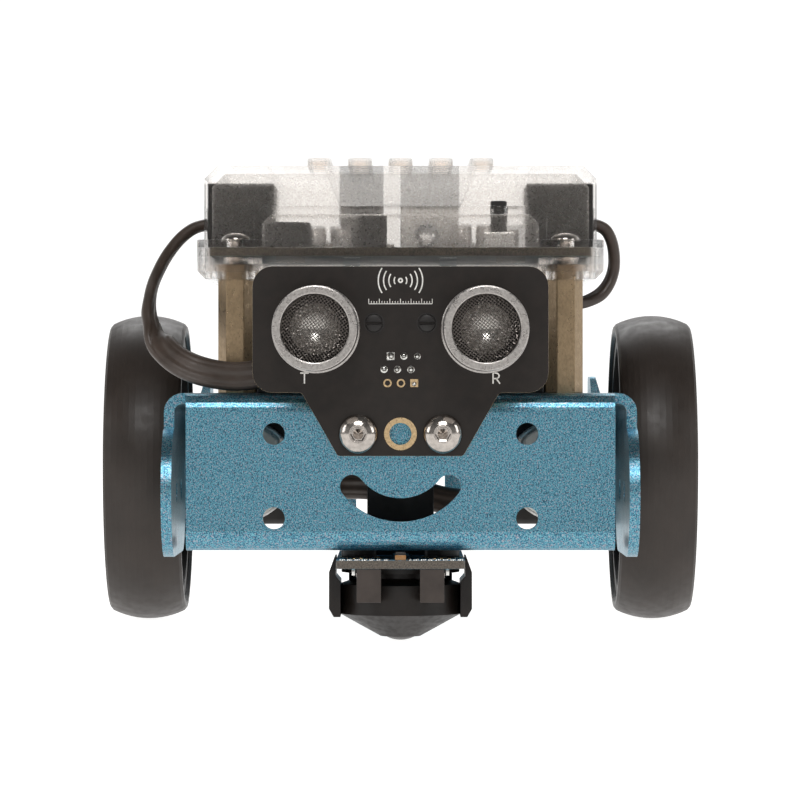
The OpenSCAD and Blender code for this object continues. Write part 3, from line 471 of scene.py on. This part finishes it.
def paper_white():
    """The white print on the sensor board."""
    look = Look("print_white", (0.78, 0.76, 0.72), 0.6)
    look.vary_color(look.noise(0.4, 3), (0.62, 0.60, 0.56), (0.85, 0.83, 0.79))
    return look.bump(look.noise(0.15, 3), 0.006, 0.6)


LOOKS = {
    "anodised_blue": anodised_blue(),
    "tyre_rubber": tyre_rubber(),
    "hub_plastic": moulded_plastic("hub_plastic", (0.022, 0.019, 0.018), 0.45),
    "screw_steel": worn_metal("screw_steel", (0.46, 0.42, 0.385), 0.15, 0.9),
    "gear_nylon": moulded_plastic("gear_nylon", (0.74, 0.72, 0.65), 0.4, 0.5, 0.008),
    "brass": worn_metal("brass", (0.32, 0.235, 0.145), 0.38, 0.35, (1, 1, 0.6), 0.010),
    "gearbox_plastic": moulded_plastic("gearbox_plastic", (0.028, 0.025, 0.023), 0.42),
    "motor_steel": worn_metal("motor_steel", (0.55, 0.54, 0.52), 0.32, 0.6, (1, 0.1, 1)),
    "motor_cap_plastic": moulded_plastic("motor_cap_plastic", (0.70, 0.69, 0.64), 0.45),
    "smoke_plastic": smoke_clear(),
    "board_dark": solder_mask("board_dark", (0.05, 0.08, 0.09), (0.09, 0.075, 0.055), "Z"),
    "jack_plastic": moulded_plastic("jack_plastic", (0.02, 0.018, 0.017), 0.4, 0.4),
    "port_steel": worn_metal("port_steel", (0.60, 0.59, 0.57), 0.28, 0.5),
    "button_plastic": moulded_plastic("button_plastic", (0.018, 0.016, 0.015), 0.4, 0.4),
    "chip_plastic": moulded_plastic("chip_plastic", (0.02, 0.018, 0.017), 0.5, 0.25),
    "led_lens": plain_gloss("led_lens", (0.86, 0.85, 0.84),
                            0.12, 1.0, Transmission_Weight=0.75, IOR=1.5),
    "board_black": solder_mask("board_black", (0.013, 0.0092, 0.0072), (0.42, 0.34, 0.22), "Y"),
    "can_metal": worn_metal("can_metal", (0.42, 0.395, 0.375), 0.32, 0.45, None, 0.05),
    "can_mesh": worn_metal("can_mesh", (0.16, 0.142, 0.130), 0.32, 0.4),
    "board_blue": solder_mask("board_blue", (0.16, 0.34, 0.46), (0.10, 0.085, 0.07), "Z"),
    "sensor_eye": moulded_plastic("sensor_eye", (0.046, 0.036, 0.031), 0.5, 0.5),
    "spacer_plastic": moulded_plastic("spacer_plastic", (0.02, 0.017, 0.015), 0.4, 0.5),
    "caster_plastic": moulded_plastic("caster_plastic", (0.012, 0.009, 0.0075), 0.42, 0.6),
    "ball_nylon": plain_gloss("ball_nylon", (0.025, 0.020, 0.018), 0.3),
    "holder_plastic": moulded_plastic("holder_plastic", (0.020, 0.019, 0.018), 0.45, 0.5),
    "battery_wrap": battery_wrap(),
    "contact_metal": worn_metal("contact_metal", (0.66, 0.65, 0.62), 0.25, 0.6),
    "cable_jacket": cable_jacket(),
    "plug_clear": plain_gloss("plug_clear", (0.88, 0.88, 0.87),
                              0.08, 1.5, Transmission_Weight=0.95, IOR=1.58),
}
LOOKS["amber_lamp"] = plain_gloss("amber_lamp", (0.30, 0.15, 0.055), 0.25)
LOOKS["small_parts"] = moulded_plastic("small_parts", (0.16, 0.115, 0.08), 0.4, 0.6)
FROSTED = smoke_frosted()
PRINT = paper_white()
GOLD = worn_metal("gold_plate", (0.58, 0.42, 0.24), 0.36, 0.3, None, 0.02)
CONE = worn_metal("cone", (0.86, 0.83, 0.78), 0.24, 0.5)
SOLDER = worn_metal("solder", (0.70, 0.69, 0.66), 0.22, 0.35, None, 0.02)


def paint(piece, look):
    piece.data.materials.clear()
    piece.data.materials.append(look.material)


def paint_nodes():
    """Gives every CAD node the look of its own material slot."""
    for part in frame["record"]["subparts"]:
        paint(NODES[part["node"]], LOOKS[part["material_slot"]])


paint_nodes()
paint(sensor_cable, LOOKS["cable_jacket"])
paint(line_cable, LOOKS["cable_jacket"])


COVER_SKIN = 1.45               # thickness of the cover's walls
STUD_HEIGHT = 1.7               # of the studs on the cover's top
BODY_HALF, BODY_FRONT, BODY_BACK = 38.5, 29, 98
NOSE_HALF, NOSE_FRONT, NOSE_TOP = 28, 8, 83.5
CAVITY_FLOOR = 75.7


def frost_inner_faces():
    """The cover is polished outside and frosted inside: faces of its cavity take the frosted look."""
    cover = NODES["case_cover"]
    cover.data.materials.append(FROSTED.material)
    over = 1e-5
    reach = over - COVER_SKIN * MM
    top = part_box("case_cover")[1].z - STUD_HEIGHT * MM
    for polygon in cover.data.polygons:
        c = polygon.center
        depth = c.y - FRONT_Y
        in_body = (abs(c.x) < BODY_HALF * MM + reach and depth > BODY_FRONT * MM - reach
                   and c.z < top + reach)
        in_nose = (abs(c.x) < NOSE_HALF * MM + reach and depth > NOSE_FRONT * MM - reach
                   and c.z < NOSE_TOP * MM + reach)
        inside = depth < BODY_BACK * MM + reach and c.z > CAVITY_FLOOR * MM
        polygon.material_index = 1 if (in_body or in_nose) and inside else 0


frost_inner_faces()


# ---- Details on the distance sensor ----
BOARD_FACE = -1.6               # depth of the sensor board's front face
CAN_X = 16
CAN_Z = 59.8
TO_FRONT = (0, -1, 0)


def finish_piece(name, bm, look, body="frame", smooth=True):
    piece = new_piece(name, bm, body, smooth)
    piece.data.materials.append(look.material)
    return piece


def in_can(x, depth):
    return at(x, depth, CAN_Z)


def woven_wire(bm, x, turned):
    """A plain weave of round wire, cut to the can's inner diameter."""
    pitch, wire_r, screen_r, wave = 0.5, 0.085, 6.32, 0.08
    depth = -12.2
    count = int(screen_r / pitch)
    for way in (0, 1):
        angle = math.radians(turned + 90 * way)
        along = Vector((math.cos(angle), 0, math.sin(angle)))
        across = Vector((-math.sin(angle), 0, math.cos(angle)))
        for k in range(-count, count + 1):
            half = math.sqrt(screen_r**2 - (k * pitch) ** 2)
            steps = max(2, int(2 * half / pitch) * 2)
            line = []
            for i in range(steps + 1):
                t = half * (2 * i / steps - 1)
                lift = wave * math.cos(math.pi * (t / pitch + k + way))
                place = in_can(x, depth + lift)
                line.append(place + (along * t + across * k * pitch) * MM)
            sweep(bm, line, circle(wire_r * MM, 5))


def make_screens():
    """Each can's wire screen, with the resonator cone and the dark base that show through it."""
    pieces = []
    for label, x, turned in (("transmitter", -CAN_X, 36), ("receiver", CAN_X, 52)):
        bm = bmesh.new()
        woven_wire(bm, x, turned)
        pieces.append(finish_piece(f"{label}_wire_screen", bm, LOOKS["can_mesh"]))
        bm = bmesh.new()
        cone = [(0, 7.4), (1.2, 7.5), (3.4, 8.9), (4.6, 9.9), (4.75, 9.8),
                (3.5, 8.6), (1.3, 7.2), (1.2, 5.2), (0, 5.2)]
        lathe(bm, [(r * MM, h * MM) for r, h in cone], in_can(x, 0), TO_FRONT)
        pieces.append(finish_piece(f"{label}_cone", bm, CONE))
        bm = bmesh.new()
        base = [(0, 3.0), (6.35, 3.0), (6.35, 5.0), (5.9, 5.3), (0, 5.3)]
        lathe(bm, [(r * MM, h * MM) for r, h in base], in_can(x, 0), TO_FRONT)
        pieces.append(finish_piece(f"{label}_base", bm, LOOKS["chip_plastic"]))
        bm = bmesh.new()
        flange = [(8.02, 1.62), (8.35, 1.66), (8.35, 2.2), (8.2, 2.35), (8.02, 2.4)]
        lathe(bm, [(r * MM, h * MM) for r, h in flange], in_can(x, 0), TO_FRONT, 96, closed=True)
        finish_piece(f"{label}_flange", bm, LOOKS["can_metal"])
    for piece in pieces:
        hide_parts("can_screens")


def stroke(bm, points, width, closed=False):
    """A raised line of print on the sensor board's face through points given as width and height."""
    thick = 0.03
    section = [(-thick * MM, -width * MM / 2), (thick * MM, -width * MM / 2),
               (thick * MM, width * MM / 2), (-thick * MM, width * MM / 2)]
    line = [at(x, BOARD_FACE, z) for x, z in points]
    sweep(bm, line, section, [(0, 1, 0)] * len(line), closed)


def arc(x, z, r, start, end, steps=16):
    angles = [math.radians(start + (end - start) * i / steps) for i in range(steps + 1)]
    return [(x + r * math.cos(a), z + r * math.sin(a)) for a in angles]


def make_print():
    """T and R beside the transmitter and receiver, a sound-wave icon and a plain scale."""
    bm = bmesh.new()
    height, pen = 2.0, 0.26
    low = 49.5
    stroke(bm, [(-18.95, low + height), (-17.35, low + height)], pen)
    stroke(bm, [(-18.15, low), (-18.15, low + height)], pen)
    x = 17.5
    bowl = arc(x + 0.62, low + height - 0.52, 0.52, 90, -90, 8)
    stroke(bm, [(x, low), (x, low + height), *bowl, (x, low + height - 1.04)], pen)
    stroke(bm, [(x + 0.6, low + height - 1.04), (x + 1.3, low)], pen)
    icon_z = 69
    for r in (1.2, 2.2, 3.2, 4.2):
        for way in (0, 180):
            stroke(bm, arc(0, icon_z, r, way - 34, way + 34), 0.24)
    stroke(bm, arc(0, icon_z, 0.35, 0, 345, 12), 0.3, closed=True)
    scale_z = 64.6
    stroke(bm, [(-6, scale_z), (6, scale_z)], 0.16)
    for i in range(25):
        tall = 0.95 if i % 4 == 0 else 0.5
        tick = -6 + 0.5 * i
        stroke(bm, [(tick, scale_z), (tick, scale_z + tall)], 0.13)
    finish_piece("sensor_board_print", bm, PRINT, smooth=False)


def solder_joint(bm, x, z, r, lean):
    """A cone of solder with the end of its pin."""
    top = 0.62 * r / 0.75
    profile = [(r, -0.02), (r * 0.96, 0.12), (r * 0.62, 0.3), (r * 0.42, top),
               (r * 0.36, top + 0.3), (0, top + 0.36)]
    axis = Vector((math.cos(lean) * 0.12, -1, math.sin(lean) * 0.12)).normalized()
    lathe(bm, [(a * MM, h * MM) for a, h in profile], at(x, BOARD_FACE, z), axis, 20)


def make_sensor_joints():
    bm = bmesh.new()
    pitch = 2.54
    for i in range(3):
        solder_joint(bm, -1.87 + pitch * i, 54.7, 0.78 - 0.06 * i, 2.1 * i)
        solder_joint(bm, -3.1 + pitch * i, 52.2, 0.72, 1.3 + 1.7 * i)
    solder_joint(bm, 2.6, 49.45, 0.5, 0.4)
    slab(bm, (-2.6, -1.14), (BOARD_FACE - 0.06, BOARD_FACE + 0.02), (53.97, 55.43))
    finish_piece("sensor_solder_joints", bm, SOLDER)
    bm = bmesh.new()
    for i in range(2):
        ring = [(0.5, -0.02), (0.8, -0.02), (0.8, 0.05), (0.5, 0.05)]
        lathe(bm, [(r * MM, h * MM) for r, h in ring],
              at(-2.45 + pitch * i, BOARD_FACE, 49.6), TO_FRONT, 24, True)
    slab(bm, (1.85, 3.35), (BOARD_FACE - 0.05, BOARD_FACE + 0.02), (48.85, 50.35))
    hole = [(2.09, -1.55), (2.09, 0.05), (3.09, 0.05), (3.09, -0.01), (2.14, -0.01), (2.14, -1.55)]
    lathe(bm, [(r * MM, h * MM) for r, h in hole], at(0, BOARD_FACE, 40), TO_FRONT, 64, True)
    finish_piece("sensor_gold_pads", bm, GOLD)


def half_peg(bm, x, z, side):
    """One half of a slotted round peg's head, above or below its slot."""
    r, gap = 1.62, 0.24
    start = math.asin(gap / r)
    outline = [(r * math.cos(a), side * r * math.sin(a))
               for a in (start + (math.pi - 2 * start) * i / 14 for i in range(15))]
    levels = [(BOARD_FACE + 0.02, 1.0), (BOARD_FACE - 0.32, 1.0),
              (BOARD_FACE - 0.46, 0.93), (BOARD_FACE - 0.52, 0.8)]
    middle = side * (r + gap) / 2.2
    rings = []
    for depth, share in levels:
        rings.append([bm.verts.new(at(x + u * share, depth, z + middle + (v - middle) * share))
                      for u, v in outline])
    for a, b in zip(rings, rings[1:]):
        for i in range(len(outline)):
            j = (i + 1) % len(outline)
            bm.faces.new((a[i], a[j], b[j], b[i]))
    bm.faces.new(rings[0][::-1])
    bm.faces.new(rings[-1])


def make_pegs():
    bm = bmesh.new()
    for x in (-5, 5):
        for side in (-1, 1):
            half_peg(bm, x, 60.95, side)
        rim = [(1.72, -0.02), (1.95, -0.02), (1.95, 0.08), (1.72, 0.08)]
        lathe(bm, [(r * MM, h * MM) for r, h in rim], at(x, BOARD_FACE, 60.95), TO_FRONT, 32, True)
    finish_piece("sensor_board_pegs", bm, LOOKS["jack_plastic"])


make_screens()
make_print()
make_sensor_joints()
make_pegs()


# ---- Details on the line sensor ----
LINE_TOP = 16.0                 # height of the line sensor board's upper face
UP = (0, 0, 1)


def make_line_details():
    bm = bmesh.new()
    bumps = [(r * MM, h * MM) for r, h in ((0.42, -0.02), (0.38, 0.16), (0.2, 0.3), (0, 0.34))]
    for row in range(4):
        for i in range(17):
            x = -11.2 + 1.4 * i + 0.35 * (row % 2)
            if abs(x) > 1.5:
                lathe(bm, bumps, at(x, 0.8 + 0.9 * row + 0.3 * (i % 3), LINE_TOP), UP, 10)
    for x in (-8.9, 8.9):
        for d in (1.5, 4.1):
            slab(bm, (x - 0.35, x + 0.35), (d - 0.35, d + 0.35), (13.1, 14.42), 0.1)
    finish_piece("line_solder_bumps", bm, SOLDER)
    bm = bmesh.new()
    slab(bm, (-1.05, 1.05), (0.35, 1.75), (LINE_TOP, LINE_TOP + 1.0), 0.12)
    finish_piece("line_lamp_body", bm, LOOKS["amber_lamp"])
    bm = bmesh.new()
    slab(bm, (-1.0, 1.0), (0.4, 1.7), (LINE_TOP + 1.0, LINE_TOP + 1.62), 0.2)
    finish_piece("line_lamp_cap", bm, LOOKS["chip_plastic"])
    bm = bmesh.new()
    ring = [(r * MM, h * MM) for r, h in ((3.42, 0.0), (4.1, 0.0), (4.1, 0.06), (3.42, 0.06))]
    for x in (-8, 8):
        lathe(bm, ring, at(x, 17, LINE_TOP), UP, 40, True)
    slab(bm, (-10.2, -6.2), (4.6, 6.2), (LINE_TOP, LINE_TOP + 0.25), 0.08)
    slab(bm, (6.2, 10.2), (4.6, 6.2), (LINE_TOP, LINE_TOP + 0.25), 0.08)
    finish_piece("line_gold_pads", bm, GOLD)
    bm = bmesh.new()
    for x in (-9.6, -6.2, 6.2, 9.6):
        slab(bm, (x - 0.8, x + 0.8), (9.0, 9.9), (LINE_TOP, LINE_TOP + 0.55), 0.1)
    for x in (-4, 4):
        slab(bm, (x - 2.4, x + 2.4), (27, 31), (LINE_TOP, LINE_TOP + 1.3), 0.15)
    finish_piece("line_board_parts", bm, LOOKS["chip_plastic"])


make_line_details()


# ---- Details in the controller case ----
BOARD_TOP = 75.6


def make_board_parts():
    """Small parts in rows on the controller board, clear of the CAD chips."""
    bm = bmesh.new()
    for row_d, xs in ((26, range(-22, 20, 4)), (47.5, range(-18, 19, 3)), (64.2, range(-4, 20, 3)),
                      (75, range(-14, 14, 4)), (80.5, range(-22, -2, 3))):
        for i, x in enumerate(xs):
            tall = 0.55 + 0.25 * ((i * 7) % 3)
            slab(bm, (x - 0.8, x + 0.8), (row_d - 0.45, row_d + 0.45), (BOARD_TOP, BOARD_TOP + tall), 0.08)
    finish_piece("board_small_parts", bm, LOOKS["small_parts"])
    bm = bmesh.new()
    can = [(2.35, 0), (2.35, 0.5), (2.1, 0.7), (2.1, 5.0), (1.9, 5.3), (0, 5.3)]
    for x, d in ((-12, 56), (-17, 56), (17, 42), (12, 42)):
        lathe(bm, [(r * MM, h * MM) for r, h in can], at(x, d, BOARD_TOP), UP, 32)
    finish_piece("board_capacitors", bm, LOOKS["can_metal"])


def make_jack_contacts():
    """The six gold spring wires in each jack that has no plug in it."""
    bm = bmesh.new()
    pitch, wires = 1.27, 6
    spring = ((26.9, 7.9), (31.5, 6.6), (35.4, 5.2), (36.2, 4.2))
    for side in (-1, 1):
        for k in range(wires):
            d = 62 + pitch * (k - (wires - 1) / 2)
            line = [at(side * x, d, BOARD_TOP + h) for x, h in spring]
            sweep(bm, smooth_line(line, 4), circle(0.16 * MM, 6))
    finish_piece("jack_contacts", bm, GOLD)


make_board_parts()
make_jack_contacts()


# ---- Battery springs ----
CELL_PITCH = 14.7
CELLS_D = 71
CELL_Z = 56.2
CONTACT_X = 27.15


def make_battery_contacts():
    """A plate at both ends of each cell, and a tapered spring against its flat end."""
    bm = bmesh.new()
    turns, steps = 3.4, 20
    for i in range(4):
        way = -1 if i % 2 else 1
        d = CELLS_D + CELL_PITCH * (i - 1.5)
        for end in (-1, 1):
            x = sorted((end * CONTACT_X, end * (CONTACT_X - 0.4)))
            slab(bm, x, (d - 4.5, d + 4.5), (CELL_Z - 5, CELL_Z + 4), 0.12)
        line = []
        for k in range(int(turns * steps) + 1):
            t = k / (turns * steps)
            a = math.tau * turns * t
            r = 3.9 - 1.5 * t
            x = -(CONTACT_X - 0.55) + 2.35 * t
            line.append(at(way * x, d + r * math.cos(a), CELL_Z + r * math.sin(a)))
        sweep(bm, line, circle(0.36 * MM, 8))
    springs = finish_piece("battery_springs", bm, LOOKS["contact_metal"])
    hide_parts("battery_contacts")


make_battery_contacts()


# ---- Edges of the CAD nodes ----
EDGE_ROUNDING = {
    "chassis": 0.3, "left_hub": 0.3, "right_hub": 0.3, "case_base": 0.25, "case_cover": 0.3,
    "sensor_board": 0.08, "line_board": 0.08, "controller_board": 0.08, "cable_jacks": 0.25,
    "module_jacks": 0.25, "caster_housing": 0.3, "battery_holder": 0.3, "line_eyes": 0.2,
    "line_spacers": 0.15, "standoffs": 0.2, "nuts": 0.15, "usb_port": 0.2, "power_jack": 0.3,
    "left_gearbox_inner": 0.3, "right_gearbox_inner": 0.3, "left_gearbox_outer": 0.3,
    "right_gearbox_outer": 0.3, "motor_cans": 0.4, "motor_caps": 0.3, "mode_button": 0.25,
    "reset_button": 0.2, "button_bodies": 0.2, "board_chips": 0.12, "buzzer": 0.3,
    "ir_receiver": 0.2, "transmitter_can": 0.25, "receiver_can": 0.25, "sensor_screws": 0.12,
    "standoff_screws": 0.12, "motor_screws": 0.1, "caster_screws": 0.12, "battery_cells": 0.5,
    "sensor_cable_plugs": 0.2, "line_cable_plugs": 0.2, "power_switch_slider": 0.15,
}
for node_name, rounding in EDGE_ROUNDING.items():
    refine(node_name, rounding)


# ---- Stage: pale floor, soft light ----
FRONT_LEVEL = 0.30
BACKDROP_LEVEL = 1.12
OVERHEAD_SHARE = 0.35


def make_floor():
    bpy.ops.mesh.primitive_circle_add(vertices=96, radius=14, fill_type="NGON")
    floor = bpy.context.object
    floor.name = "floor"
    floor.location.z = -0.0002
    look = Look("floor", (0.46, 0.455, 0.45), 0.9, Specular_IOR_Level=0.0)
    look.vary_color(look.noise(400.0, 2), (0.45, 0.445, 0.44), (0.47, 0.465, 0.46))
    look.shader.inputs["Emission Color"].default_value = (1, 0.995, 0.985, 1)
    look.shader.inputs["Emission Strength"].default_value = 0.97
    floor.data.materials.append(look.material)


def softbox(name, place, size, power, aim=(0, 0, 0.05)):
    data = bpy.data.lights.new(name, "AREA")
    data.shape = "RECTANGLE"
    data.size, data.size_y = size
    data.energy = power
    light = bpy.data.objects.new(name, data)
    light.location = place
    light.rotation_euler = (Vector(aim) - Vector(place)).to_track_quat("-Z", "Y").to_euler()
    bpy.context.scene.collection.objects.link(light)


def make_world():
    """A bright backdrop low behind the robot, and a dimmer studio overhead and in front of it."""
    world = bpy.data.worlds.new("studio")
    bpy.context.scene.world = world
    world.use_nodes = True
    tree = world.node_tree
    place = tree.nodes.new("ShaderNodeTexCoord")
    split = tree.nodes.new("ShaderNodeSeparateXYZ")
    tree.links.new(place.outputs["Generated"], split.inputs["Vector"])
    depth = tree.nodes.new("ShaderNodeMapRange")
    depth.interpolation_type = "SMOOTHSTEP"
    depth.inputs["From Min"].default_value = -0.2
    depth.inputs["From Max"].default_value = 0.8
    depth.inputs["To Min"].default_value = FRONT_LEVEL
    depth.inputs["To Max"].default_value = BACKDROP_LEVEL
    tree.links.new(split.outputs["Y"], depth.inputs["Value"])
    height = tree.nodes.new("ShaderNodeMapRange")
    height.interpolation_type = "SMOOTHSTEP"
    height.inputs["From Min"].default_value = 0.15
    height.inputs["From Max"].default_value = 0.7
    height.inputs["To Min"].default_value = 1.0
    height.inputs["To Max"].default_value = OVERHEAD_SHARE
    tree.links.new(split.outputs["Z"], height.inputs["Value"])
    level = tree.nodes.new("ShaderNodeMath")
    level.operation = "MULTIPLY"
    tree.links.new(depth.outputs["Result"], level.inputs[0])
    tree.links.new(height.outputs["Result"], level.inputs[1])
    background = tree.nodes["Background"]
    background.inputs["Color"].default_value = (1, 0.998, 0.99, 1)
    tree.links.new(level.outputs["Value"], background.inputs["Strength"])


make_floor()
make_world()
softbox("key", (0, -1.5, 1.25), (0.8, 0.5), 14)
softbox("left_fill", (1.5, -0.7, 0.6), (0.5, 0.8), 4)
softbox("right_fill", (-1.5, -0.7, 0.6), (0.5, 0.8), 4)
softbox("rear", (0, 1.5, 1.4), (1.2, 0.6), 9)
bpy.context.scene.view_settings.view_transform = "Standard"
